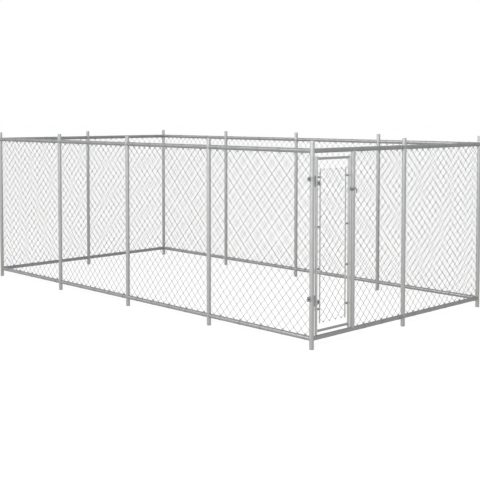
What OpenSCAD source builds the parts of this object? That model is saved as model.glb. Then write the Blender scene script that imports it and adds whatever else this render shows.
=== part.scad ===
// Free-standing outdoor dog run of galvanised tube and chain-link mesh, open at the top, with one gate.
// Millimetres, +Z up. The origin is on the ground, at the centre of the run.
// The long sides run along X. The gate is in the +X side, next to the corner post at +X, -Y.

/* [Run] */
// Distance from the axis of a corner post to the axis of the next post
end_bay = 1524; // [1200:2:2000]
// Distance between the axes of two neighbouring posts that aren't at corners
middle_bay = 1476; // [1200:2:2000]
// Bays along each long side
long_bays = 4; // [1:1:4]
// Bays along each short side
short_bays = 2; // [1:1:2]
// Height of the run, from the ground to the top of a post cap
run_h = 2090; // [1900:10:2400]

/* [Posts and rails] */
// Outside diameter of the posts, the rails and the gate jamb
tube_d = 48; // [42:1:56]
// Wall of the posts, the rails and the gate jamb
tube_wall = 2; // [1.5:0.1:3]
// Height of the bottom rails' axes above the ground
bottom_rail_z = 110; // [90:5:180]
// Distance from the top rails' axes to the top of the run
top_rail_drop = 100; // [60:5:160]
// Length of a spigot that carries a rail, from the skin of its post
spigot_l = 60; // [48:1:90]
// Wall of a spigot
spigot_wall = 2; // [1.5:0.1:3]
// Distance of a rail screw from the skin of its post
screw_inset = 32; // [25:1:40]
// Shank diameter of the rail screws
screw_d = 5; // [4:0.1:6]
// Thickness of the flange of a post cap or foot
plug_flange = 3; // [2:0.5:6]
// Depth of a post cap or foot inside its post
plug_l = 20; // [10:1:30]

/* [Mesh] */
// Diameter of the mesh wire
wire = 3.5; // [2:0.1:4]
// Width that the mesh diamonds come nearest to
diamond_w = 103; // [80:1:140]
// Height that the mesh diamonds come nearest to
diamond_h = 111; // [80:1:140]
// Width of the edge that joins the ends of the mesh strands
mesh_edge = 4; // [3:0.5:6]
// Diameter of the tie wires
tie_d = 2.5; // [1.5:0.1:3]
// Number of diamonds from one tie wire to the next
tie_step = 3; // [2:1:5]

/* [Gate frame] */
// Outside width of the gate frame
gate_w = 536; // [480:1:640]
// Outside diameter of the gate's stiles
stile_d = 28; // [25:1:34]
// Amount by which the gate's rails are slimmer than its stiles
gate_rail_slim = 2; // [1:0.5:5]
// Wall of the gate's tubes
gate_wall = 1.6; // [1.2:0.1:2.5]
// Distance that the stiles run on below the gate's bottom rail
stile_foot = 23; // [2:1:60]
// Distance that the stiles run on above the gate's top rail
stile_head = 10; // [2:1:40]
// Gap between the corner post and the hinge stile
hinge_gap = 27; // [25:0.5:36]
// Gap between the latch stile and the jamb
latch_gap = 27; // [27:0.5:45]
// Gap under the gate, down to the run's bottom rail
gate_gap_bottom = 5; // [4:1:80]
// Gap over the gate, up to the run's top rail
gate_gap_top = 33; // [20:1:80]
// Diameter of the vent hole under the gate's bottom rail
vent_d = 6; // [4:0.5:8]

/* [Gate mesh] */
// Distance from a stile's axis to its tension bar
bar_offset = 55; // [52:0.5:65]
// Width of a tension bar
bar_w = 16; // [12:0.5:17]
// Thickness of a tension bar
bar_t = 5; // [4:0.5:6]
// Height of the lower end of the tension bars above the gate's lower end
bar_lift = 108; // [60:1:160]
// Distance from the upper end of the tension bars to the gate's upper end
bar_drop = 123; // [40:1:180]
// Heights of the two lower tension bands above the lower end of their bar
band_rise = [148, 553]; // [40:1:600]
// Distances of the two upper tension bands below the upper end of their bar
band_drop = [85, 585]; // [40:5:600]
// Height of a tension band
band_h = 20; // [14:1:30]
// Thickness of a tension band
band_t = 2; // [1.5:0.1:3]
// Diameter of the tension band bolts
band_bolt_d = 6; // [5:0.5:8]

/* [Hinges] */
// Distance from the gate's upper end to the meeting of the upper hinge's two eyes
hinge_drop = 244; // [222:1:300]
// Height of the meeting of the lower hinge's two eyes above the gate's lower end
hinge_rise = 351; // [318:1:420]
// Height of a hinge clamp
clamp_h = 46; // [36:1:56]
// Thickness of the hinge clamps
clamp_t = 4; // [3:0.5:5]
// Length of the ears of a post clamp, from its band
post_ear_l = 34; // [24:1:50]
// Length of the ears of a gate clamp, from its band
gate_ear_l = 22; // [18:0.5:24]
// Distance of a clamp bolt from the ends of the ears
bolt_edge = 9; // [8:0.5:10]
// Width of the slit between a clamp's ears
ear_slit = 6; // [4:0.5:8]
// Diameter of the clamp bolts
clamp_bolt_d = 8; // [6:0.5:9]
// Diameter of the hinge pins
pin_d = 10; // [8:0.5:12]
// Gap between a hinge eye and the tube that it turns past
eye_gap = 3.5; // [2.5:0.1:4]

/* [Latch] */
// Distance from the gate's upper end to the latch pivot
latch_drop = 353; // [300:1:480]
// Height of the latch collar
collar_h = 30; // [20:1:40]
// Thickness of the latch collar
collar_t = 3.5; // [2.5:0.5:4]
// Distance of the latch pivot from the skin of the latch stile
pivot_reach = 13; // [12.5:0.1:13.5]
// Diameter of the latch pivot bolt
pivot_d = 8; // [6:0.5:9]
// Wall of the latch fork's hubs round the pivot bolt
hub_wall = 3; // [2.5:0.1:3.5]
// Gap between each tine of the fork and the jamb
tine_gap = 4; // [3:0.5:8]
// Thickness of the tines
tine_t = 5; // [4:0.5:8]
// Reach of the tines past the jamb
tine_past = 6; // [4:1:16]
// Width of the tines
tine_w = 15; // [12:1:18]
// Rise of the arch of the tines above the pivot
tine_rise = 18; // [14:1:22]
// Drop of the lower ends of the tines below the pivot
tine_drop = 44; // [36:1:48]

/* [Fits] */
// Radial clearance of a spigot in its tube
spigot_fit = 0.25; // [0.15:0.05:0.5]
// Gap between the saddle end of a tube and the tube that it sits on
saddle_gap = 0.3; // [0.2:0.05:0.6]
// Gap between the mesh and the rails
mesh_gap = 0.3; // [0.2:0.05:0.8]
// Gap between the side of the mesh and a clamp on the post beside it
mesh_side_gap = 1.8; // [1:0.1:4]
// Radial clearance of clamps, bands and collars on their tubes
band_fit = 0.15; // [0.1:0.05:0.3]
// Radial clearance of the screws and bolts in their holes
bolt_fit = 0.15; // [0.1:0.05:0.3]
// Radial running clearance of the hinge pins and the latch pivot
pin_fit = 0.05; // [0.03:0.01:0.09]
// Gap between the two eyes of a hinge, and between the latch fork and its neighbours
turn_gap = 0.4; // [0.3:0.05:0.8]

/* [Hidden] */
$fn = 48;
side_names = ["front", "right", "back", "left"];
side_numbers = [0:3];
side_bays = [long_bays, short_bays, long_bays, short_bays];
front = 0;
right = 1;
gate_bay = 1;
function bay_l(s, i) = i == 1 || i == side_bays[s] ? end_bay : middle_bay;
function bay_start(s, i) = i == 1 ? 0 : bay_start(s, i - 1) + bay_l(s, i - 1);
half_x = bay_start(front, long_bays + 1) / 2;
half_y = bay_start(right, short_bays + 1) / 2;
side_starts = [[-half_x, -half_y, 0], [half_x, -half_y, 0], [half_x, half_y, 0], [-half_x, half_y, 0]];

tube_r = tube_d / 2;
tube_bore = tube_d - 2 * tube_wall;
top_rail_z = run_h - top_rail_drop;
rail_levels = [bottom_rail_z, top_rail_z];
spigot_d = tube_bore - 2 * spigot_fit;
screw_x = tube_r + screw_inset;
screw_depth = tube_wall + spigot_fit + spigot_wall;
plug_chamfer = plug_flange / 3;

// The mesh is two layers of straight strands that cross, with a small gap between the layers.
layer_gap = wire / 8;
mesh_t = 2 * wire + layer_gap;
mesh_side = tube_r + band_fit + clamp_t + mesh_side_gap;
mesh_z = bottom_rail_z + tube_r + mesh_gap;
mesh_h = top_rail_z - tube_r - mesh_gap - mesh_z;
least_slot = mesh_edge * mesh_edge;

// A tie wire is a ring that holds the rail and the edge of the mesh together.
tie_low = tube_r + mesh_gap;
tie_high = tube_r + mesh_gap + mesh_edge + tie_d / 2;
tie_ring_r = (tie_low + tie_high + tie_d) / 2;
tie_shift = (tie_high - tie_low) / 2;

hinge_x = tube_r + hinge_gap + stile_d / 2;
latch_x = hinge_x + gate_w - stile_d;
jamb_x = latch_x + stile_d / 2 + latch_gap + tube_r;
gate_z0 = bottom_rail_z + tube_r + gate_gap_bottom;
gate_z1 = top_rail_z - tube_r - gate_gap_top;
gate_rail_d = stile_d - gate_rail_slim;
gate_rail_levels = [gate_z0 + stile_foot + gate_rail_d / 2, gate_z1 - stile_head - gate_rail_d / 2];

bar_z0 = gate_z0 + bar_lift;
bar_z1 = gate_z1 - bar_drop;
bar_fit = band_fit;
bar_positions = [hinge_x + bar_offset, latch_x - bar_offset];
band_levels = concat([for (rise = band_rise) bar_z0 + rise], [for (drop = band_drop) bar_z1 - drop]);
band_reach = bar_offset + bar_w / 2 - band_t;
band_bolt_x = (stile_d / 2 + bar_offset - bar_w / 2) / 2;

pin_x = tube_r + hinge_gap / 2;
eye_r = hinge_gap / 2 - eye_gap;
hinge_levels = [gate_z0 + hinge_rise, gate_z1 - hinge_drop];
latch_z = gate_z1 - latch_drop;
pivot_x = stile_d / 2 + pivot_reach;
hub_r = pivot_d / 2 + hub_wall;
lug_out = ear_slit / 2 + collar_t;
tine_in = tube_r + tine_gap;
tine_out = tine_in + tine_t;
tip_x = jamb_x - latch_x - pivot_x + tube_r + tine_past;
lug_half = 0.9 * hub_r;
// The bridge of the fork is a bar under its hubs, and each tine is deep enough there to hold it.
bridge_w = 8;
bridge_h = 3;
bridge_x = -3;
bridge_gap = 0.8;
bridge_z = -hub_r - bridge_gap - bridge_h;
bridge_land = 1.2;
tip_bevel = 5;

zinc = "#a3a7aa";
mesh_zinc = "#c2c5c7";
dark_zinc = "#7f8386";
cap_grey = "#8f9396";

post_nodes = [for (s = side_numbers) for (i = [1:side_bays[s]]) str("post_", side_names[s], "_", i)];
rail_nodes = [for (level = ["bottom", "top"]) for (s = side_numbers) for (i = [1:side_bays[s]])
    str(level, "_rail_", side_names[s], "_", i)];
mesh_nodes = [for (s = side_numbers) str(side_names[s], "_mesh")];
hinge_names = ["lower", "upper"];

// Puts a shape at the start post of a bay, with +X along the side and +Y into the run
module on_bay(s, i) {
    translate(side_starts[s]) rotate(90 * s) translate([bay_start(s, i), 0, 0]) children();
}

// Puts a shape at every post of the run
module on_all_posts() {
    for (s = side_numbers) for (i = [1:side_bays[s]]) on_bay(s, i) children();
}

// A hexagon bolt with its nut: the head is under z = 0 and the nut starts at z = grip
module hex_bolt(d, grip) {
    head_h = 0.65 * d;
    nut_h = 0.8 * d;
    hex_d = 1.85 * d;
    translate([0, 0, -head_h]) cylinder(d = hex_d, h = head_h, $fn = 6);
    translate([0, 0, -head_h / 2]) cylinder(d = d, h = head_h / 2 + grip + nut_h + d / 2);
    translate([0, 0, grip]) cylinder(d = hex_d, h = nut_h, $fn = 6);
}

// A washer-head screw whose shank goes up from z = 0, where the skin of its tube is
module tube_screw() {
    washer_t = screw_d / 5;
    head_h = 0.8 * screw_d;
    translate([0, 0, -washer_t]) cylinder(d = 2.2 * screw_d, h = washer_t);
    translate([0, 0, -washer_t - head_h]) cylinder(d = 1.7 * screw_d, h = head_h + washer_t / 2, $fn = 6);
    translate([0, 0, -washer_t / 2]) cylinder(d = screw_d, h = washer_t / 2 + screw_depth + screw_d / 2);
}

module tube_screw_hole() {
    translate([0, 0, -screw_d]) cylinder(d = screw_d + 2 * bolt_fit, h = screw_d + screw_depth + screw_d);
}

// Puts a shape on the side of a rail, pointing to its axis; side is 1 or -1 for +Y or -Y
module beside_rail(x, side) {
    translate([x, side * tube_r, 0]) rotate([side * 90, 0, 0]) children();
}

// Puts a shape on the inner side of the jamb at each of its two screws
module at_jamb_screws() {
    for (z = [bottom_rail_z + screw_x, top_rail_z - screw_x])
        translate([jamb_x, tube_r, z]) rotate([90, 0, 0]) children();
}

// A post with its spigots, at the start of a bay; a corner post's second rail is square to the first.
// Each spigot has an angle and the side of its screw, which is the side towards the inside of the run.
module post(i) {
    spigots = [[0, 1], [i == 1 ? 90 : 180, -1]];
    color(zinc) difference() {
        union() {
            translate([0, 0, plug_flange]) cylinder(d = tube_d, h = run_h - 2 * plug_flange);
            for (z = rail_levels, spigot = spigots)
                translate([0, 0, z]) rotate([0, 90, spigot[0]])
                    cylinder(d = spigot_d, h = tube_r + spigot_l);
        }
        cylinder(d = tube_bore, h = run_h);
        for (z = rail_levels, spigot = spigots) translate([0, 0, z]) rotate(spigot[0]) {
            rotate([0, 90, 0]) cylinder(d = spigot_d - 2 * spigot_wall, h = tube_r + 2 * spigot_l);
            beside_rail(screw_x, spigot[1]) tube_screw_hole();
        }
    }
}

// Cuts a rail end at 45 degrees on its inner side, where the next side's rail meets it
module corner_mitre() {
    linear_extrude(2 * tube_d, center = true)
        polygon([[saddle_gap, 0], [saddle_gap + tube_d, tube_d], [-tube_d, tube_d], [-tube_d, 0]]);
}

// A rail between two posts, l from axis to axis.
// stub is 1 or -1 where a spigot for the jamb points up or down, and 0 elsewhere.
module rail(l, starts_at_corner, ends_at_corner, stub) {
    color(zinc) difference() {
        union() {
            rotate([0, 90, 0]) cylinder(d = tube_d, h = l);
            if (stub != 0) translate([jamb_x, 0, 0]) rotate([stub > 0 ? 0 : 180, 0, 0])
                cylinder(d = spigot_d, h = tube_r + spigot_l);
        }
        translate([-tube_d, 0, 0]) rotate([0, 90, 0]) cylinder(d = tube_bore, h = l + 2 * tube_d);
        for (x = [0, l]) translate([x, 0, 0])
            cylinder(d = tube_d + 2 * saddle_gap, h = 2 * tube_d, center = true);
        if (starts_at_corner) corner_mitre();
        if (ends_at_corner) translate([l, 0, 0]) mirror([1, 0, 0]) corner_mitre();
        for (x = [screw_x, l - screw_x]) beside_rail(x, 1) tube_screw_hole();
        if (stub != 0) translate([jamb_x, 0, 0]) rotate([stub > 0 ? 0 : 180, 0, 0]) {
            cylinder(d = spigot_d - 2 * spigot_wall, h = tube_r + 2 * spigot_l);
            translate([0, stub * tube_r, screw_x]) rotate([stub * 90, 0, 0]) tube_screw_hole();
        }
    }
}

// The fixed post between the two rails of the gate bay, which the latch closes on
module gate_jamb() {
    color(zinc) difference() {
        translate([jamb_x, 0, bottom_rail_z]) cylinder(d = tube_d, h = top_rail_z - bottom_rail_z);
        translate([jamb_x, 0, 0]) cylinder(d = tube_bore, h = run_h);
        for (z = rail_levels) translate([jamb_x, 0, z]) rotate([0, 90, 0])
            cylinder(d = tube_d + 2 * saddle_gap, h = 2 * tube_d, center = true);
        at_jamb_screws() tube_screw_hole();
    }
}

module frame_screws() {
    color(dark_zinc) {
        for (s = side_numbers) for (i = [1:side_bays[s]]) on_bay(s, i)
            for (z = rail_levels, x = [screw_x, bay_l(s, i) - screw_x])
                translate([0, 0, z]) beside_rail(x, 1) tube_screw();
        on_bay(right, gate_bay) at_jamb_screws() tube_screw();
    }
}

// A moulded plug that closes the end of a post, with its flange on the ground side
module post_plug() {
    stem_r = tube_bore / 2 - spigot_fit;
    rotate_extrude() polygon([
        [0, 0], [tube_r - plug_chamfer, 0], [tube_r, plug_chamfer], [tube_r, plug_flange],
        [stem_r, plug_flange], [stem_r, plug_flange + plug_l], [0, plug_flange + plug_l]
    ]);
}

module post_feet() {
    color(cap_grey) on_all_posts() post_plug();
}

module post_caps() {
    color(cap_grey) on_all_posts() translate([0, 0, run_h]) mirror([0, 0, 1]) post_plug();
}

// The part of a convex outline on the near side of the line where normal * point equals limit
function cut(outline, normal, limit) = [
    for (i = [0:len(outline) - 1])
        let (p = outline[i], q = outline[(i + 1) % len(outline)])
        let (a = normal * p - limit, b = normal * q - limit)
            each concat(a <= 0 ? [p] : [], a * b < 0 ? [p + (q - p) * a / (a - b)] : [])
];

function outline_area(p) = len(p) < 3 ? 0 : abs(
    [for (i = [0:len(p) - 1]) p[i].x * p[(i + 1) % len(p)].y - p[(i + 1) % len(p)].x * p[i].y]
    * [for (i = [0:len(p) - 1]) 0.5]);

// One layer of a mesh: parallel strands inside an edge; lean is 1 or -1
module mesh_layer(w, h, columns, rows, lean) {
    pitch = w / columns;
    slope = lean * pitch * rows / h;
    strand = wire * sqrt(1 + slope * slope);
    window = [[mesh_edge, mesh_edge], [w - mesh_edge, mesh_edge], [w - mesh_edge, h - mesh_edge],
        [mesh_edge, h - mesh_edge]];
    first = -ceil(rows) - 1;
    last = columns + ceil(rows);
    linear_extrude(wire) difference() {
        square([w, h]);
        for (i = [first:last]) {
            low = (i - 0.5) * pitch + strand / 2;
            high = (i + 0.5) * pitch - strand / 2;
            slot = cut(cut(window, [1, -slope], high), [-1, slope], -low);
            if (outline_area(slot) > least_slot) polygon(slot);
        }
    }
}

// A mesh w wide and h high, standing on its lower edge along X, with its middle on the plane Y = 0
module mesh_panel(w, h, columns, rows) {
    translate([0, mesh_t / 2, 0]) rotate([90, 0, 0]) {
        mesh_layer(w, h, columns, rows, 1);
        translate([0, 0, wire / 2]) linear_extrude(wire + layer_gap) difference() {
            square([w, h]);
            translate([mesh_edge, mesh_edge]) square([w - 2 * mesh_edge, h - 2 * mesh_edge]);
        }
        translate([0, 0, wire + layer_gap]) mesh_layer(w, h, columns, rows, -1);
    }
}

function mesh_start(s, i) = (s == right && i == gate_bay ? jamb_x : 0) + mesh_side;
function mesh_width(s, i) = bay_l(s, i) - mesh_side - mesh_start(s, i);
function mesh_columns(w) = max(1, round(w / diamond_w));
function mesh_rows(h) = max(1, round(2 * h / diamond_h) / 2);

// The mesh of one side of the run, one panel in each bay
module side_mesh(s) {
    color(mesh_zinc) for (i = [1:side_bays[s]]) on_bay(s, i)
        translate([mesh_start(s, i), 0, mesh_z])
            mesh_panel(mesh_width(s, i), mesh_h, mesh_columns(mesh_width(s, i)), mesh_rows(mesh_h));
}

// A ring of tie wire round a rail; up is 1 where the mesh is above the rail and -1 where it is below
module tie_ring(up) {
    translate([0, 0, up * tie_shift]) rotate([0, 90, 0])
        rotate_extrude() translate([tie_ring_r, 0]) circle(d = tie_d);
}

// Rings at every tie_step-th crossing of strands on the mesh's lower and upper edges
module tie_wires() {
    color(mesh_zinc) for (s = side_numbers) for (i = [1:side_bays[s]]) {
        w = mesh_width(s, i);
        columns = mesh_columns(w);
        pitch = w / columns;
        top_phase = mesh_rows(mesh_h) % 1;
        on_bay(s, i) translate([mesh_start(s, i), 0, 0]) {
            for (k = [1:tie_step:columns - 1])
                translate([(k + 0.5) * pitch, 0, bottom_rail_z]) tie_ring(1);
            for (k = [1:tie_step:columns - 1])
                translate([(k + 0.5 - top_phase) * pitch, 0, top_rail_z]) tie_ring(-1);
        }
    }
}

// A band clamp with its axis on Z, ears to +X and a hinge eye at -X
module hinge_clamp(clamped_d, ear_l, eye_x) {
    bore_r = clamped_d / 2 + band_fit;
    ear_end = bore_r + clamp_t + ear_l;
    web_t = 1.4 * eye_r;
    difference() {
        union() {
            cylinder(r = bore_r + clamp_t, h = clamp_h);
            for (y = [ear_slit / 2, -ear_slit / 2 - clamp_t])
                translate([0, y, 0]) cube([ear_end, clamp_t, clamp_h]);
            translate([-eye_x, 0, 0]) cylinder(r = eye_r, h = clamp_h);
            translate([-eye_x, -web_t / 2, 0]) cube([eye_x, web_t, clamp_h]);
        }
        translate([0, 0, -clamp_h / 2]) cylinder(r = bore_r, h = 2 * clamp_h);
        translate([0, -ear_slit / 2, -clamp_h / 2]) cube([2 * ear_end, ear_slit, 2 * clamp_h]);
        translate([-eye_x, 0, -clamp_h / 2]) cylinder(d = pin_d + 2 * pin_fit, h = 2 * clamp_h);
        translate([ear_end - bolt_edge, 0, clamp_h / 2]) rotate([90, 0, 0])
            cylinder(d = clamp_bolt_d + 2 * bolt_fit, h = 4 * lug_out, center = true);
    }
}

// The bolt that closes a hinge clamp, in the clamp's own place
module hinge_clamp_bolt(clamped_d, ear_l) {
    half_grip = ear_slit / 2 + clamp_t;
    bolt_x = clamped_d / 2 + band_fit + clamp_t + ear_l - bolt_edge;
    translate([bolt_x, -half_grip, clamp_h / 2]) rotate([-90, 0, 0]) hex_bolt(clamp_bolt_d, 2 * half_grip);
}

// Puts a shape at a post clamp, which stands on the meeting of the two eyes
module at_post_clamp(z) {
    translate([0, 0, z]) rotate(180) children();
}

// Puts a shape at a gate clamp, which hangs under the meeting of the two eyes
module at_gate_clamp(z) {
    translate([hinge_x, 0, z - turn_gap - clamp_h]) children();
}

module hinge_post_clamp(z) {
    color(dark_zinc) at_post_clamp(z) hinge_clamp(tube_d, post_ear_l, pin_x);
}

module hinge_gate_clamp(z) {
    color(dark_zinc) at_gate_clamp(z) hinge_clamp(stile_d, gate_ear_l, hinge_x - pin_x);
}

module hinge_post_bolts() {
    color(dark_zinc) for (z = hinge_levels) at_post_clamp(z) hinge_clamp_bolt(tube_d, post_ear_l);
}

module hinge_gate_bolts() {
    color(dark_zinc) for (z = hinge_levels) at_gate_clamp(z) hinge_clamp_bolt(stile_d, gate_ear_l);
}

// Each pin hangs by its head from the post clamp's eye, and its nut carries the gate clamp's eye
module hinge_pins() {
    color(dark_zinc) for (z = hinge_levels)
        translate([pin_x, 0, z + clamp_h]) rotate([180, 0, 0]) hex_bolt(pin_d, 2 * (clamp_h + turn_gap));
}

// The welded frame of the gate: capped stiles, rails let into them, and a vent hole under the bottom rail
module gate_frame() {
    stile_h = gate_z1 - gate_z0;
    color(zinc) difference() {
        union() {
            for (x = [hinge_x, latch_x]) translate([x, 0, gate_z0]) cylinder(d = stile_d, h = stile_h);
            for (z = gate_rail_levels) translate([hinge_x, 0, z]) rotate([0, 90, 0])
                cylinder(d = gate_rail_d, h = latch_x - hinge_x);
        }
        for (x = [hinge_x, latch_x]) translate([x, 0, gate_z0 + gate_wall])
            cylinder(d = stile_d - 2 * gate_wall, h = stile_h - 2 * gate_wall);
        for (z = gate_rail_levels) translate([hinge_x, 0, z]) rotate([0, 90, 0])
            cylinder(d = gate_rail_d - 2 * gate_wall, h = latch_x - hinge_x);
        translate([(hinge_x + latch_x) / 2, 0, gate_z0])
            cylinder(d = vent_d, h = gate_rail_levels[0] - gate_z0);
    }
}

module gate_tension_bars() {
    color(zinc) for (x = bar_positions)
        translate([x - bar_w / 2, -bar_t / 2, bar_z0]) cube([bar_w, bar_t, bar_z1 - bar_z0]);
}

module gate_mesh() {
    start = bar_positions[0] + bar_w / 2 + mesh_gap;
    w = bar_positions[1] - bar_w / 2 - mesh_gap - start;
    h = bar_z1 - bar_z0;
    color(mesh_zinc) translate([start, 0, bar_z0]) mesh_panel(w, h, mesh_columns(w), mesh_rows(h));
}

// Puts a shape at every tension band, with +X from the stile to its bar
module at_bands() {
    for (z = band_levels) {
        translate([hinge_x, 0, z]) children();
        translate([latch_x, 0, z]) mirror([1, 0, 0]) children();
    }
}

// A strap round the stile whose two ends hold the tension bar between them
module tension_band() {
    bore_r = stile_d / 2 + band_fit;
    slit = bar_t + 2 * bar_fit;
    difference() {
        union() {
            translate([0, 0, -band_h / 2]) cylinder(r = bore_r + band_t, h = band_h);
            translate([0, -slit / 2 - band_t, -band_h / 2]) cube([band_reach, slit + 2 * band_t, band_h]);
        }
        translate([0, 0, -band_h]) cylinder(r = bore_r, h = 2 * band_h);
        translate([0, -slit / 2, -band_h]) cube([2 * band_reach, slit, 2 * band_h]);
        translate([band_bolt_x, 0, 0]) rotate([90, 0, 0])
            cylinder(d = band_bolt_d + 2 * bolt_fit, h = 2 * stile_d, center = true);
    }
}

module gate_tension_bands() {
    color(dark_zinc) at_bands() tension_band();
}

module gate_band_bolts() {
    half_grip = bar_t / 2 + bar_fit + band_t;
    color(dark_zinc) at_bands()
        translate([band_bolt_x, -half_grip, 0]) rotate([-90, 0, 0]) hex_bolt(band_bolt_d, 2 * half_grip);
}

// Puts a shape at the latch stile's axis, at the height of the latch pivot
module at_latch() {
    translate([latch_x, 0, latch_z]) children();
}

// The band on the latch stile, with two lugs that hold the pivot bolt
module latch_collar() {
    bore_r = stile_d / 2 + band_fit;
    color(dark_zinc) at_latch() difference() {
        union() {
            translate([0, 0, -collar_h / 2]) cylinder(r = bore_r + collar_t, h = collar_h);
            for (y = [ear_slit / 2, -lug_out]) {
                translate([0, y, -lug_half]) cube([pivot_x, collar_t, 2 * lug_half]);
                translate([pivot_x, y, 0]) rotate([-90, 0, 0]) cylinder(r = hub_r, h = collar_t);
            }
        }
        translate([0, 0, -collar_h]) cylinder(r = bore_r, h = 2 * collar_h);
        translate([0, -ear_slit / 2, -collar_h]) cube([2 * pivot_x, ear_slit, 2 * collar_h]);
        translate([pivot_x, 0, 0]) rotate([90, 0, 0])
            cylinder(d = pivot_d + 2 * bolt_fit, h = 4 * lug_out, center = true);
    }
}

module latch_pivot_bolt() {
    half_grip = tine_out + turn_gap;
    color(dark_zinc) at_latch() translate([pivot_x, -half_grip, 0]) rotate([-90, 0, 0])
        hex_bolt(pivot_d, 2 * half_grip);
}

// The side of a tine with the pivot at the origin: an arch from its hub to its lower end past the jamb
function tine_outline() = [
    [-hub_r - bridge_land, 0], [-hub_r / 2, hub_r + bridge_land],
    [0.25 * tip_x, tine_rise], [0.5 * tip_x, tine_rise], [0.85 * tip_x, tine_rise / 3],
    [tip_x, -tine_drop / 3], [tip_x, tip_bevel - tine_drop], [tip_x - tip_bevel, -tine_drop],
    [tip_x - tine_w, -tine_drop], [tip_x - tine_w, -0.4 * tine_drop],
    [0.62 * tip_x, 0], [0.4 * tip_x, tine_rise - tine_w], [hub_r + bridge_land, -hub_r / 2],
    [bridge_x + bridge_w + bridge_land, bridge_z - bridge_land],
    [bridge_x - bridge_land, bridge_z - bridge_land]
];

// The fork: two tines that straddle the jamb, their hubs on the pivot bolt, and a bridge under the hubs
module latch_fork() {
    hub_in = lug_out + turn_gap;
    color(dark_zinc) at_latch() translate([pivot_x, 0, 0]) difference() {
        union() {
            for (y = [tine_out, -tine_in]) translate([0, y, 0]) rotate([90, 0, 0])
                linear_extrude(tine_t) polygon(tine_outline());
            for (y = [hub_in, -tine_in - tine_t / 2]) translate([0, y, 0]) rotate([-90, 0, 0])
                cylinder(r = hub_r, h = tine_in + tine_t / 2 - hub_in);
            translate([bridge_x, -tine_in - tine_t / 2, bridge_z])
                cube([bridge_w, 2 * tine_in + tine_t, bridge_h]);
        }
        rotate([90, 0, 0]) cylinder(d = pivot_d + 2 * pin_fit, h = 4 * tine_out, center = true);
    }
}

for (s = side_numbers) for (i = [1:side_bays[s]]) {
    at_start = i == 1;
    at_end = i == side_bays[s];
    gate_here = s == right && i == gate_bay;
    on_bay(s, i) post(i);
    on_bay(s, i) translate([0, 0, bottom_rail_z])
            rail(bay_l(s, i), at_start, at_end, gate_here ? 1 : 0);
    on_bay(s, i) translate([0, 0, top_rail_z])
            rail(bay_l(s, i), at_start, at_end, gate_here ? -1 : 0);
}
for (s = side_numbers) side_mesh(s);
post_caps();
post_feet();
frame_screws();
tie_wires();
on_bay(right, gate_bay) gate_jamb();
for (k = [0:1]) {
    on_bay(right, gate_bay) hinge_post_clamp(hinge_levels[k]);
    on_bay(right, gate_bay) hinge_gate_clamp(hinge_levels[k]);
}
on_bay(right, gate_bay) hinge_post_bolts();
on_bay(right, gate_bay) hinge_pins();
on_bay(right, gate_bay) gate_frame();
on_bay(right, gate_bay) gate_mesh();
on_bay(right, gate_bay) gate_tension_bars();
on_bay(right, gate_bay) gate_tension_bands();
on_bay(right, gate_bay) gate_band_bolts();
on_bay(right, gate_bay) hinge_gate_bolts();
on_bay(right, gate_bay) latch_collar();
on_bay(right, gate_bay) latch_pivot_bolt();
on_bay(right, gate_bay) latch_fork();
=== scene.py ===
"""Looks of an outdoor dog run: galvanised tubes, woven wire, gate fittings, floor, light and camera.

Sizes are in metres and angles in degrees.
"""

import math

import bpy
import numpy as np
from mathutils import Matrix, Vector


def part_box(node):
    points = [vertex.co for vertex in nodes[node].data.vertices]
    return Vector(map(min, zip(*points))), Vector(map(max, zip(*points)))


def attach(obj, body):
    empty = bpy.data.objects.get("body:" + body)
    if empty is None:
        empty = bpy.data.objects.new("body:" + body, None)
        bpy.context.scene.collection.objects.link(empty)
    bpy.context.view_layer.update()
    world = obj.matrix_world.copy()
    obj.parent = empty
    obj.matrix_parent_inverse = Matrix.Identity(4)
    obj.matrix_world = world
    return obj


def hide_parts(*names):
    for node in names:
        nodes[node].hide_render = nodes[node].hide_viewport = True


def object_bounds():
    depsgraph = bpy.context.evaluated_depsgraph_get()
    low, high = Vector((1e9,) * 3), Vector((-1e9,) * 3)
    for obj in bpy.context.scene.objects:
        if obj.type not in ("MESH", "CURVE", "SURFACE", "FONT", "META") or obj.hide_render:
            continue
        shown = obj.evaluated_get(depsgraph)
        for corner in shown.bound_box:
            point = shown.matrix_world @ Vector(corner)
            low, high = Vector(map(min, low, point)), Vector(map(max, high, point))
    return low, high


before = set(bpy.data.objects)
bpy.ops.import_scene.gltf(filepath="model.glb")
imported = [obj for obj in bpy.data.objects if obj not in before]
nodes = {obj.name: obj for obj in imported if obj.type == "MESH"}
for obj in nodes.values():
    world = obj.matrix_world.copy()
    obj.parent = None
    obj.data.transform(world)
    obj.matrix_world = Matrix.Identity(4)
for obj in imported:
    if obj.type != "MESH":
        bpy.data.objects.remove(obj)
cad_low, cad_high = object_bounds()

# The axis that each side of the run lies along: 0 is X and 1 is Y
SIDE_AXES = {"front": 0, "right": 1, "back": 0, "left": 1}

# Mesh: its diamonds, how many wires a CAD panel is thick, and a panel's own direction from face to face
DIAMOND_W = 0.103
DIAMOND_H = 0.111
LAYERS_PER_PANEL = 2.125
WIRE_SIDES = 6
PANEL_OUT = (0, 1, 0)

# Bends, where a wire hooks its neighbour: the hook's depth in wire radii, and how far up and down the bend
# and its sharp core reach, the core also at a wire's end. The core's points lie at the last two shares of the
# hook's depth and of the strand's lean.
HOOK_SPARE = 1.05
BEND_RISE = 0.006
BEND_CORE = BEND_RISE / 2.5
END_CORE = BEND_CORE / 3
CORE_DEPTH = 0.6
CORE_LEAN = 0.4

# How far a wire's end is bent back, and how far beyond a tension bar its hook narrows again, in wire radii
TAIL_RISE = 0.014
NECK_RADII = 4

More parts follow.
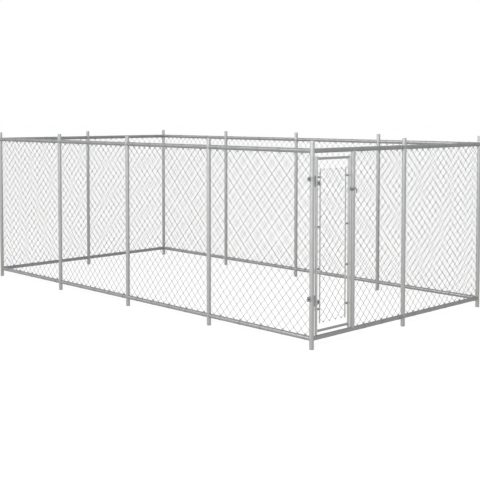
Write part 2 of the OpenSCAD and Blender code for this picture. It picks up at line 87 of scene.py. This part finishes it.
# Tie wires, one at every third hook along a rail: the loop round the rail up to its peak at the hook
TIE_STEP = 3
TIE_D = 0.0022
TIE_PEAK = 0.011
TIE_SIDES = 5
TIE_TURN_STEPS = 20
TIE_OFF_RAIL = 0.6 * TIE_D

# The twisted tail of a tie: its place beside the mesh, its twist and a direction that it never follows
TAIL_L = 0.018
TAIL_STEPS = 16
TAIL_TURNS = 2.5
TAIL_PLACE = 1.6 * TIE_D
TAIL_TWIST = 0.55 * TIE_D
TAIL_ACROSS = (0, 0.6, 0.8)

# Tints that turn a grey value into a colour
ZINC_TINT = (0.985, 1.0, 1.012)
# The dust tint also colours the painted shade towards the ground
DUST_AND_SHADE_TINT = (0.82, 0.81, 0.79)
NEUTRAL = (1.0, 1.0, 1.0)

# Dull patches of the zinc: their noise, the range of it in which they fade in, their largest share and tone
PATCH_SCALE = 5.0
PATCH_DETAIL = 5.0
PATCH_ROUGHNESS = 0.6
PATCH_RANGE = (0.45, 0.75)
PATCH_SHARE = 0.55
PATCH_TONE = 0.86

# The zinc's crystals differ this much in roughness, and its fine grain has this noise and bump
CRYSTAL_ROUGHNESS = 0.06
GRAIN_SCALE = 900.0
GRAIN_DETAIL = 3.0
GRAIN_BUMP = 0.12
GRAIN_DEPTH = 0.0004

# Dust and painted shade as (share that hides the zinc at the ground, height at which it ends)
LOW_DUST = (0.10, 0.22)
# The tall setting is no dust but a painted shade, darker towards the ground up the whole height
TALL_PAINTED_SHADE = (1.0, cad_high[2])
NO_DUST_NOR_SHADE = (0.0, 1.0)

# Painted shade: tone of the gate's rails over that of its stiles, darker as its horizontal tubes take the
# light
GATE_RAIL_PAINTED_SHADE = 0.72

# Places of the sockets of a Mix node that mixes colours
MIX_FACTOR = 0
MIX_FIRST = 6
MIX_SECOND = 7
MIX_RESULT = 2

# Camera; its lens and sensor are in millimetres
CAMERA_PLACE = (9.2060, -8.5561, 2.3482)
CAMERA_AZIMUTH = 46.316
CAMERA_ELEVATION = 2.946
CAMERA_LENS = 70.873
CAMERA_SENSOR = 36.0
CAMERA_SHIFT = (0.01751, -0.16)
CAMERA_REACH = 500.0

# Floor: its size, its surface as it lights the run, and the glow and the shadowed tone that are seen of it
FLOOR_SIZE = 400
FLOOR_TONE = 0.45
FLOOR_ROUGHNESS = 0.9
FLOOR_GLOW = 0.87
FLOOR_SHADOW_TONE = 0.22

# Light: strength of the world, and the lamps. A lamp's distance is from the gate's corner post, or 0 where
# it is so far off that it lights all places alike. Its use is to light surfaces, to be mirrored in them, or
# both.
WORLD_LIGHT = 0.48
LAMPS = {
    "key_lamp": dict(strength=2.0, spread=12.0, azimuth=27.0, elevation=26.0, use="both", distance=9.0),
    "side_lamp": dict(strength=3.0, spread=30.0, azimuth=-60.0, elevation=4.0, use="light", distance=0),
    "stripe_lamp": dict(strength=2.3, spread=30.0, azimuth=-20.0, elevation=28.0, use="mirror", distance=0),
}


# Meshes

def unit(vectors):
    """The same vectors at length 1."""
    return vectors / np.linalg.norm(vectors, axis=-1, keepdims=True)


def tube(path, radius, sides, across, closed=False):
    """Vertices and faces of a round tube along a path that never follows the direction across."""
    path = np.asarray(path, float)
    if closed:
        along = unit(np.roll(path, -1, 0) - np.roll(path, 1, 0))
    else:
        along = unit(np.gradient(path, axis=0))
    first = unit(np.cross(along, across))
    second = np.cross(first, along)
    turn = np.arange(sides) * 2 * math.pi / sides
    ring = first[:, None] * np.cos(turn)[:, None] + second[:, None] * np.sin(turn)[:, None]
    vertices = (path[:, None] + radius * ring).reshape(-1, 3)
    count = len(path)
    quads = []
    for i in range(count if closed else count - 1):
        a = i * sides
        b = (i + 1) % count * sides
        for k in range(sides):
            m = (k + 1) % sides
            quads.append((a + k, a + m, b + m, b + k))
    faces = np.array(quads)
    if not closed:
        vertices = np.vstack([vertices, path[0], path[-1]])
        low = len(vertices) - 2
        high = low + 1
        last = (count - 1) * sides
        caps = [(low, (k + 1) % sides, k, k) for k in range(sides)]
        caps += [(high, last + k, last + (k + 1) % sides, last + (k + 1) % sides) for k in range(sides)]
        faces = np.vstack([faces, np.array(caps)])
    return vertices, faces


def plain_faces(faces):
    """Faces as tuples; triangles come as quads with a repeated corner and leave with three corners."""
    return [tuple(f[:3]) if f[2] == f[3] else tuple(f) for f in faces.tolist()]


def join(parts):
    """One array of vertices and one of faces from several (vertices, faces) pairs."""
    vertices = np.vstack([v for v, _ in parts])
    starts = np.cumsum([0] + [len(v) for v, _ in parts[:-1]])
    faces = np.vstack([f + s for (_, f), s in zip(parts, starts)])
    return vertices, faces


def wire_piece(name, parts, material, body):
    """A piece made of several tubes, which rides on a body."""
    vertices, faces = join(parts)
    mesh = bpy.data.meshes.new(name)
    mesh.from_pydata(vertices.tolist(), [], plain_faces(faces))
    mesh.polygons.foreach_set("use_smooth", np.ones(len(mesh.polygons), bool))
    mesh.materials.append(material)
    piece = bpy.data.objects.new(name, mesh)
    bpy.context.scene.collection.objects.link(piece)
    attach(piece, body)
    return piece


# Materials

def tinted(value, tint):
    """A grey value in a tint, as a colour."""
    return tuple(value * part for part in tint) + (1.0,)


def new_material(name):
    """A node material, its node tree and its shader."""
    material = bpy.data.materials.new(name)
    material.use_nodes = True
    return material, material.node_tree, material.node_tree.nodes["Principled BSDF"]


def add(tree, kind, **values):
    """A node with its properties and its input values set."""
    node = tree.nodes.new(kind)
    for key, value in values.items():
        if hasattr(node, key):
            setattr(node, key, value)
        else:
            node.inputs[key.replace("_", " ")].default_value = value
    return node


def mapped(tree, source, low, high, to_low, to_high):
    """A value taken from one range to another."""
    node = add(tree, "ShaderNodeMapRange")
    node.inputs["From Min"].default_value = low
    node.inputs["From Max"].default_value = high
    node.inputs["To Min"].default_value = to_low
    node.inputs["To Max"].default_value = to_high
    tree.links.new(source, node.inputs["Value"])
    return node.outputs["Result"]


def blended(tree, factor, first, second):
    """A colour between two others, by a factor; each of the three is a value or a socket."""
    node = tree.nodes.new("ShaderNodeMix")
    node.data_type = "RGBA"
    for place, value in ((MIX_FACTOR, factor), (MIX_FIRST, first), (MIX_SECOND, second)):
        if isinstance(value, bpy.types.NodeSocket):
            tree.links.new(value, node.inputs[place])
        else:
            node.inputs[place].default_value = value
    return node.outputs[MIX_RESULT]


def shaded_span(tree, colour, along, start, end, shade):
    """A colour with a painted shade: scaled by shade where the value along lies between start and end."""
    inside = add(tree, "ShaderNodeMath", operation="COMPARE")
    tree.links.new(along, inside.inputs[0])
    inside.inputs[1].default_value = (start + end) / 2
    inside.inputs[2].default_value = (end - start) / 2
    scaled = add(tree, "ShaderNodeVectorMath", operation="SCALE")
    tree.links.new(colour, scaled.inputs[0])
    tree.links.new(mapped(tree, inside.outputs[0], 0.0, 1.0, 1.0, shade), scaled.inputs["Scale"])
    return scaled.outputs[0]


def zinc(name, tone, metal, rough, spangle=70.0, contrast=0.10, dust_and_shade=LOW_DUST, painted_shade_span=None):
    """Zinc-coated steel: crystals of slightly different grey, dull patches, fine grain and low dust; the tall
    setting paints shade towards the ground instead.

    spangle is the crystals' scale and contrast their difference in tone. Between the first two values of the
    last argument, which are places on Y, the zinc gets a painted shade, darker by its third value.
    """
    material, tree, shader = new_material(name)
    place = tree.nodes.new("ShaderNodeTexCoord").outputs["Object"]
    crystals = add(tree, "ShaderNodeTexVoronoi", Scale=spangle)
    patches = add(tree, "ShaderNodeTexNoise", Scale=PATCH_SCALE, Detail=PATCH_DETAIL)
    patches.inputs["Roughness"].default_value = PATCH_ROUGHNESS
    grain = add(tree, "ShaderNodeTexNoise", Scale=GRAIN_SCALE, Detail=GRAIN_DETAIL)
    for texture in (crystals, patches, grain):
        tree.links.new(place, texture.inputs["Vector"])
    split = tree.nodes.new("ShaderNodeSeparateColor")
    tree.links.new(crystals.outputs["Color"], split.inputs["Color"])
    crystal = split.outputs["Red"]
    darkest = tinted(tone * (1 - contrast), ZINC_TINT)
    lightest = tinted(tone * (1 + contrast), ZINC_TINT)
    bright = blended(tree, crystal, darkest, lightest)
    dull = mapped(tree, patches.outputs["Fac"], *PATCH_RANGE, 0.0, PATCH_SHARE)
    weathered = blended(tree, dull, bright, tinted(tone * PATCH_TONE, ZINC_TINT))
    axes = tree.nodes.new("ShaderNodeSeparateXYZ")
    tree.links.new(place, axes.inputs["Vector"])
    # Darker towards the ground: real dust for the low setting, painted shade for the tall one
    share, top = dust_and_shade
    dust_and_shade_share = mapped(tree, axes.outputs["Z"], 0.0, top, share, 0.0)
    coat = blended(tree, dust_and_shade_share, weathered, tinted(tone, DUST_AND_SHADE_TINT))
    # Painted shade on the gate's rails, between its stiles along Y
    if painted_shade_span:
        coat = shaded_span(tree, coat, axes.outputs["Y"], *painted_shade_span)
    tree.links.new(coat, shader.inputs["Base Color"])
    roughness = mapped(tree, crystal, 0.0, 1.0, rough - CRYSTAL_ROUGHNESS, rough + CRYSTAL_ROUGHNESS)
    tree.links.new(roughness, shader.inputs["Roughness"])
    shader.inputs["Metallic"].default_value = metal
    bump = add(tree, "ShaderNodeBump", Strength=GRAIN_BUMP, Distance=GRAIN_DEPTH)
    tree.links.new(grain.outputs["Fac"], bump.inputs["Height"])
    tree.links.new(bump.outputs["Normal"], shader.inputs["Normal"])
    return material


gate_low, gate_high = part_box("gate_frame")
stile_d = gate_high[0] - gate_low[0]
# The gate's rails lie between its stiles along Y and get a painted shade there
gate_rail_painted_shade_span = (gate_low[1] + stile_d, gate_high[1] - stile_d, GATE_RAIL_PAINTED_SHADE)
pressed = dict(spangle=240.0, contrast=0.16, dust_and_shade=NO_DUST_NOR_SHADE)
threaded = dict(spangle=320.0, contrast=0.12, dust_and_shade=NO_DUST_NOR_SHADE)
# Posts, gate and tension bars take the tall setting: painted shade, darker towards the ground
post_zinc = zinc("post_zinc", tone=0.46, metal=0.6, rough=0.40, dust_and_shade=TALL_PAINTED_SHADE)
# Rails: the posts' zinc at a darker tone, a painted shade for how horizontal tubes take the light
rail_zinc_painted_shade = zinc("rail_zinc_painted_shade", tone=0.28, metal=0.6, rough=0.40)
gate_zinc = zinc("gate_zinc", tone=0.51, metal=0.6, rough=0.40, dust_and_shade=TALL_PAINTED_SHADE, painted_shade_span=gate_rail_painted_shade_span)
bar_zinc = zinc("bar_zinc", tone=0.55, metal=0.6, rough=0.40, spangle=110.0, dust_and_shade=TALL_PAINTED_SHADE)
wire_zinc = zinc("wire_zinc", tone=0.14, metal=0.3, rough=0.5, spangle=180.0, contrast=0.14)
band_zinc = zinc("band_zinc", tone=0.40, metal=0.6, rough=0.45, **pressed)
clamp_zinc = zinc("clamp_zinc", tone=0.35, metal=0.6, rough=0.50, **pressed)
fork_zinc = zinc("fork_zinc", tone=0.32, metal=0.6, rough=0.50, **pressed)
# Bolts near-black: partly real dark bolts, partly a painted shade for the shaded ears of the clamps and bands
bolt_zinc_and_ear_shade = zinc("bolt_zinc_and_ear_shade", tone=0.07, metal=0.8, rough=0.45, **threaded)
screw_zinc = zinc("screw_zinc", tone=0.24, metal=0.8, rough=0.38, **threaded)
plug_zinc = zinc("plug_zinc", tone=0.36, metal=0.4, rough=0.55, spangle=260.0, contrast=0.08)

# Finish of the CAD nodes, by the start of their names; the longest start that fits counts
FINISHES = {
    "post_": post_zinc,
    "top_rail_": rail_zinc_painted_shade,
    "bottom_rail_": rail_zinc_painted_shade,
    "gate_jamb": post_zinc,
    "gate_frame": gate_zinc,
    "gate_tension_bars": bar_zinc,
    "gate_tension_bands": band_zinc,
    "hinge_": clamp_zinc,
    "latch_collar": band_zinc,
    "latch_fork": fork_zinc,
    "post_caps": plug_zinc,
    "post_feet": plug_zinc,
    "frame_screws": screw_zinc,
    "gate_band_bolts": bolt_zinc_and_ear_shade,
    "hinge_post_bolts": bolt_zinc_and_ear_shade,
    "hinge_gate_bolts": bolt_zinc_and_ear_shade,
    "latch_pivot_bolt": screw_zinc,
}


def finish_node(name):
    """Gives a CAD node its finish; the nodes without one are replaced by wire pieces."""
    fits = [start for start in FINISHES if name.startswith(start)]
    if fits:
        finish = FINISHES[max(fits, key=len)]
        for material_slot in nodes[name].material_slots:
            material_slot.material = finish


for node_name in nodes:
    finish_node(node_name)


# Chain-link weave

def node_points(name):
    """All the corners of a CAD node's mesh."""
    mesh = nodes[name].data
    points = np.empty(len(mesh.vertices) * 3)
    mesh.vertices.foreach_get("co", points)
    return points.reshape(-1, 3)


class Weave:
    """The sizes of a chain-link panel that is w wide and h high, made of wire of diameter d."""

    def __init__(self, w, h, d):
        self.columns = max(1, round(w / DIAMOND_W))
        self.steps = max(2, round(2 * h / DIAMOND_H))
        self.radius = d / 2
        self.hook = self.radius * HOOK_SPARE
        self.margin = self.hook + self.radius
        self.line_gap = (w - 2 * self.margin) / (2 * self.columns)
        self.rise = (h - 2 * self.radius) / self.steps

    def line(self, k):
        """Distance along the panel of the k-th upright line of hooks."""
        return self.margin + k * self.line_gap

    def path(self, starts_right, left_reach=0.0, right_reach=0.0, wrap=None):
        """Middle line of one wire, from its lower tail to its upper one, with its left hooks on x = 0.

        A reach moves that side's hooks outwards, round a tension bar, and wrap is then the bar's
        (half width, half thickness).
        """
        lean = self.line_gap / self.rise
        points = []
        for j in range(self.steps + 1):
            at_right = starts_right == (j % 2 == 0)
            outward = 1 if at_right else -1
            reach = right_reach if at_right else left_reach
            x = (self.line_gap if at_right else 0.0) + outward * (self.hook + reach)
            z = self.radius + j * self.rise
            before = self.hook * outward
            slope = lean * (1 + reach / self.line_gap)
            if reach:
                points += self.wrapped_bend(x, z, outward, before, slope, wrap, j)
            else:
                points += self.bend(x, z, outward, before, slope, j)
        return np.array(points)

    def bend(self, x, z, outward, before, slope, j):
        """Points of one hook: up one face of the panel, round, and up the other face, or back at an end."""
        pull = outward * slope
        if j == 0:
            return [
                (x - pull * TAIL_RISE, before, z + TAIL_RISE),
                (x - pull * BEND_RISE, before, z + BEND_RISE),
                (x, before * CORE_DEPTH, z + END_CORE),
                (x, -before * CORE_DEPTH, z + END_CORE),
                (x - pull * BEND_RISE, -before, z + BEND_RISE),
            ]
        if j == self.steps:
            return [
                (x - pull * BEND_RISE, before, z - BEND_RISE),
                (x, before * CORE_DEPTH, z - END_CORE),
                (x, -before * CORE_DEPTH, z - END_CORE),
                (x - pull * BEND_RISE, -before, z - BEND_RISE),
                (x - pull * TAIL_RISE, -before, z - TAIL_RISE),
            ]
        return [
            (x - pull * BEND_RISE, before, z - BEND_RISE),
            (x - pull * BEND_CORE * CORE_LEAN, before * CORE_DEPTH, z - BEND_CORE),
            (x - pull * BEND_CORE * CORE_LEAN, -before * CORE_DEPTH, z + BEND_CORE),
            (x - pull * BEND_RISE, -before, z + BEND_RISE),
        ]

    def wrapped_bend(self, x, z, outward, before, slope, wrap, j):
        """A hook that is opened out to go round a tension bar."""
        half_w, half_t = wrap
        stand_off = (half_t + self.hook) * (1 if before > 0 else -1)
        bar_run = 2 * half_w / slope
        neck = bar_run + NECK_RADII * self.radius / slope
        pull = outward * slope
        lower = [
            (x - pull * neck, before, z - neck),
            (x - pull * bar_run, stand_off, z - bar_run),
            (x - pull * self.radius, stand_off, z - self.radius),
            (x, 0.0, z),
        ]
        upper = [(px, -py, 2 * z - pz) for px, py, pz in reversed(lower[:-1])]
        if j == 0:
            return [lower[-1]] + upper
        if j == self.steps:
            return lower
        return lower + upper


def panel_place(axis, across, start, floor):
    """A function that puts points of a panel (along, out, up) in the run's frame."""
    def place(points):
        placed = np.empty_like(points)
        placed[:, axis] = points[:, 0] + start
        placed[:, 1 - axis] = points[:, 1] + across
        placed[:, 2] = points[:, 2] + floor
        return placed
    return place


def weave_tubes(weave, place):
    """The tubes of all the wires of a panel, in the run's frame."""
    paths = [weave.path(starts_right) for starts_right in (True, False)]
    templates = [tube(path, weave.radius, WIRE_SIDES, PANEL_OUT) for path in paths]
    parts = []
    for k in range(2 * weave.columns):
        vertices, faces = templates[k % 2]
        parts.append((place(vertices + (weave.line(k), 0, 0)), faces))
    return parts


def bay_spans(side):
    """The start and end of each panel of a side, along that side."""
    axis = SIDE_AXES[side]
    points = node_points(f"{side}_mesh")
    rails = sorted(name for name in nodes if name.startswith(f"top_rail_{side}_"))
    spans = []
    for rail in rails:
        low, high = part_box(rail)
        inside = points[(points[:, axis] > low[axis]) & (points[:, axis] < high[axis])]
        spans.append((inside[:, axis].min(), inside[:, axis].max()))
    return spans


panels = {}
for side, axis in SIDE_AXES.items():
    low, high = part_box(f"{side}_mesh")
    across = (low[1 - axis] + high[1 - axis]) / 2
    wire_d = (high[1 - axis] - low[1 - axis]) / LAYERS_PER_PANEL
    for i, (start, end) in enumerate(bay_spans(side), 1):
        weave = Weave(end - start, high[2] - low[2], wire_d)
        place = panel_place(axis, across, start, low[2])
        piece = wire_piece(f"{side}_chain_link_{i}", weave_tubes(weave, place), wire_zinc, "frame")
        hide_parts(f"{side}_mesh")
        panels[side, i] = (weave, start, across)


# Gate weave, whose outer wires go round the tension bars

net_low, net_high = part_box("gate_mesh")
bars_low, bars_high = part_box("gate_tension_bars")
gate_across = (net_low[0] + net_high[0]) / 2
gate_wire_d = (net_high[0] - net_low[0]) / LAYERS_PER_PANEL
gate_weave = Weave(net_high[1] - net_low[1], net_high[2] - net_low[2], gate_wire_d)
bar_half_t = (bars_high[0] - bars_low[0]) / 2
bar_outside = net_low[1] - bars_low[1]
bar_half_w = bar_outside / 2
gate_reach = bar_outside + gate_weave.margin + gate_weave.radius
gate_place = panel_place(1, gate_across, net_low[1], net_low[2])
gate_parts = []
gate_last = 2 * gate_weave.columns - 1
for k in range(gate_last + 1):
    path = gate_weave.path(
        k % 2 == 0,
        left_reach=gate_reach if k == 0 else 0.0,
        right_reach=gate_reach if k == gate_last else 0.0,
        wrap=(bar_half_w, bar_half_t),
    )
    vertices, faces = tube(path + (gate_weave.line(k), 0, 0), gate_weave.radius, WIRE_SIDES, PANEL_OUT)
    gate_parts.append((gate_place(vertices), faces))
gate_link = wire_piece("gate_chain_link", gate_parts, wire_zinc, "gate")
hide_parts("gate_mesh")


# Tie wires

def tie_tubes(rail_r, up):
    """A loop of wire round a rail with its axis on X, up to a hook of the weave, and its twisted tail."""
    loop_r = rail_r + TIE_OFF_RAIL
    peak = rail_r + TIE_PEAK
    open_half = math.acos(loop_r / peak)
    angles = np.linspace(open_half, 2 * math.pi - open_half, TIE_TURN_STEPS)
    round_rail = np.stack([0 * angles, loop_r * np.sin(angles), loop_r * np.cos(angles)], 1)
    crown = np.array([(0, -TIE_D, peak), (0, TIE_D, peak)])
    loop = np.vstack([round_rail, crown]) * (1, 1, up)
    parts = [tube(loop, TIE_D / 2, TIE_SIDES, (1, 0, 0), closed=True)]
    run = np.linspace(0, 1, TAIL_STEPS)
    for phase in (0, math.pi):
        turn = run * TAIL_TURNS * 2 * math.pi + phase
        tail = np.stack([
            TIE_D + run * TAIL_L,
            TAIL_PLACE + TAIL_TWIST * np.cos(turn),
            up * (peak - TIE_D) + TAIL_TWIST * np.sin(turn),
        ], 1)
        parts.append(tube(tail, TIE_D / 2, TIE_SIDES, TAIL_ACROSS))
    return parts


def side_ties():
    """Tie wires at every third hook of each panel's lower and upper edge."""
    parts = []
    for (side, i), (weave, start, across) in panels.items():
        axis = SIDE_AXES[side]
        for level, up, half in (("bottom", 1, 1), ("top", -1, weave.steps % 2 == 0)):
            low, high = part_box(f"{level}_rail_{side}_{i}")
            rail_r = (high[1 - axis] - low[1 - axis]) / 2
            rail_z = low[2] + rail_r if level == "bottom" else high[2] - rail_r
            tubes = tie_tubes(rail_r, up)
            for k in range(1, weave.columns, TIE_STEP):
                place = panel_place(axis, across, start + weave.line(2 * k + half), rail_z)
                parts += [(place(v), f) for v, f in tubes]
    return parts


ties = wire_piece("tie_wires_twisted", side_ties(), wire_zinc, "frame")
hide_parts("tie_wires")


# Floor, light and camera

def mix_by_camera(tree, first, second):
    """The second shader for what is seen, mirrored or seen through glass, and the first one otherwise."""
    path = tree.nodes.new("ShaderNodeLightPath")
    either = add(tree, "ShaderNodeMath", operation="MAXIMUM")
    any_of = add(tree, "ShaderNodeMath", operation="MAXIMUM")
    tree.links.new(path.outputs["Is Camera Ray"], either.inputs[0])
    tree.links.new(path.outputs["Is Glossy Ray"], either.inputs[1])
    tree.links.new(either.outputs[0], any_of.inputs[0])
    tree.links.new(path.outputs["Is Transmission Ray"], any_of.inputs[1])
    mix = tree.nodes.new("ShaderNodeMixShader")
    tree.links.new(any_of.outputs[0], mix.inputs[0])
    tree.links.new(first, mix.inputs[1])
    tree.links.new(second, mix.inputs[2])
    return mix.outputs[0]


def white_floor():
    """A wide white floor: seen as mostly plain white, with a share of real light that keeps shadows."""
    bpy.ops.mesh.primitive_plane_add(size=FLOOR_SIZE)
    floor = bpy.context.object
    floor.name = "studio_floor"
    material, tree, shader = new_material("floor_white")
    shader.inputs["Base Color"].default_value = tinted(FLOOR_TONE, NEUTRAL)
    shader.inputs["Roughness"].default_value = FLOOR_ROUGHNESS
    shader.inputs["Specular IOR Level"].default_value = 0.0
    glow = add(tree, "ShaderNodeEmission", Strength=FLOOR_GLOW)
    lit = tree.nodes.new("ShaderNodeAddShader")
    shadowed = add(tree, "ShaderNodeBsdfDiffuse", Color=tinted(FLOOR_SHADOW_TONE, NEUTRAL))
    tree.links.new(glow.outputs[0], lit.inputs[0])
    tree.links.new(shadowed.outputs[0], lit.inputs[1])
    seen = mix_by_camera(tree, shader.outputs[0], lit.outputs[0])
    tree.links.new(seen, tree.nodes["Material Output"].inputs["Surface"])
    floor.data.materials.append(material)


def white_world():
    """An even white sky: full white where it is seen, softer as a light."""
    world = bpy.data.worlds.new("studio")
    bpy.context.scene.world = world
    world.use_nodes = True
    tree = world.node_tree
    light = tree.nodes["Background"]
    light.inputs["Color"].default_value = tinted(1.0, NEUTRAL)
    light.inputs["Strength"].default_value = WORLD_LIGHT
    seen = add(tree, "ShaderNodeBackground", Color=tinted(1.0, NEUTRAL), Strength=1.0)
    sky = mix_by_camera(tree, light.outputs[0], seen.outputs[0])
    tree.links.new(sky, tree.nodes["World Output"].inputs["Surface"])


def direction(azimuth, elevation):
    """The direction towards a point seen from the run at these angles, with azimuth 0 in front of it."""
    a = math.radians(azimuth)
    e = math.radians(elevation)
    return Vector((math.sin(a) * math.cos(e), -math.cos(a) * math.cos(e), math.sin(e)))


def soft_lamp(name, strength, spread, azimuth, elevation, use, distance):
    """A soft lamp that shines on the gate's corner post from one direction."""
    towards = direction(azimuth, elevation)
    light = bpy.data.lights.new(name, "AREA" if distance else "SUN")
    if distance:
        light.shape = "DISK"
        light.size = 2 * distance * math.tan(math.radians(spread / 2))
        light.energy = strength * math.pi * distance ** 2
    else:
        light.energy = strength
        light.angle = math.radians(spread)
    lamp = bpy.data.objects.new(name, light)
    low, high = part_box("post_right_1")
    lamp.location = (Vector(low) + Vector(high)) / 2 + towards * distance
    lamp.rotation_euler = towards.to_track_quat("Z", "Y").to_euler()
    lamp.visible_diffuse = use != "mirror"
    lamp.visible_glossy = use != "light"
    bpy.context.scene.collection.objects.link(lamp)


def photo_camera():
    """The camera, at the photograph's viewing angle."""
    data = bpy.data.cameras.new("camera")
    data.lens = CAMERA_LENS
    data.sensor_width = CAMERA_SENSOR
    data.shift_x, data.shift_y = CAMERA_SHIFT
    data.clip_end = CAMERA_REACH
    camera = bpy.data.objects.new("camera", data)
    camera.location = CAMERA_PLACE
    camera.rotation_euler = direction(CAMERA_AZIMUTH, CAMERA_ELEVATION).to_track_quat("Z", "Y").to_euler()
    bpy.context.scene.collection.objects.link(camera)
    bpy.context.scene.camera = camera


white_floor()
white_world()
for lamp_name, values in LAMPS.items():
    soft_lamp(lamp_name, **values)
photo_camera()
bpy.context.scene.view_settings.view_transform = "Standard"
